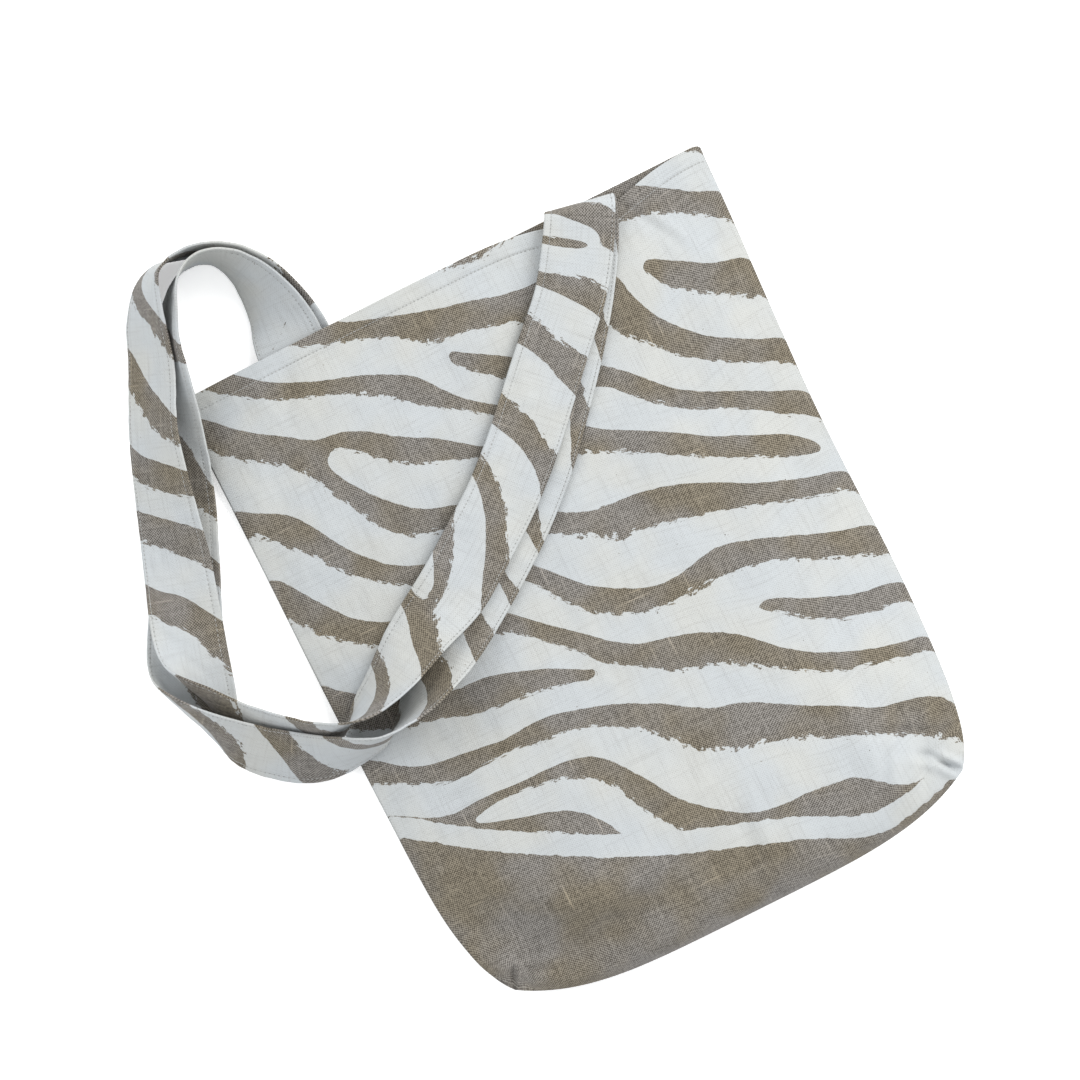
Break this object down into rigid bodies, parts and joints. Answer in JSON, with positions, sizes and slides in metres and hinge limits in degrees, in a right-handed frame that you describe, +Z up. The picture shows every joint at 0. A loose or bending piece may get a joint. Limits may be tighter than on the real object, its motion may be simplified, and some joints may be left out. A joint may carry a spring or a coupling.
{
  "type": "tote bag",
  "caption": "Empty linen tote bag lying on its back, with a boxed base, a narrow mouth hem and long shoulder straps looped over its front and past its side.",
  "frame": {"origin": "under the middle of the back panel, on the floor that the bag lies on", "axes": "+X across the bag towards its right side seam, +Y from the base towards the mouth, +Z up from the floor"},
  "size_m": [0.4807, 0.5651, 0.0632],
  "materials": {
    "printed_linen": "woven linen with a white brush-stripe print",
    "plain_linen": "unprinted woven linen",
    "strap_linen": "folded and edge-stitched printed linen"
  },
  "bodies": {
    "root": {"front_panel": "printed_linen", "back_panel": "printed_linen", "front_hem": "plain_linen", "back_hem": "plain_linen", "strap_front": "strap_linen", "strap_back": "strap_linen"}
  },
  "joints": []
}
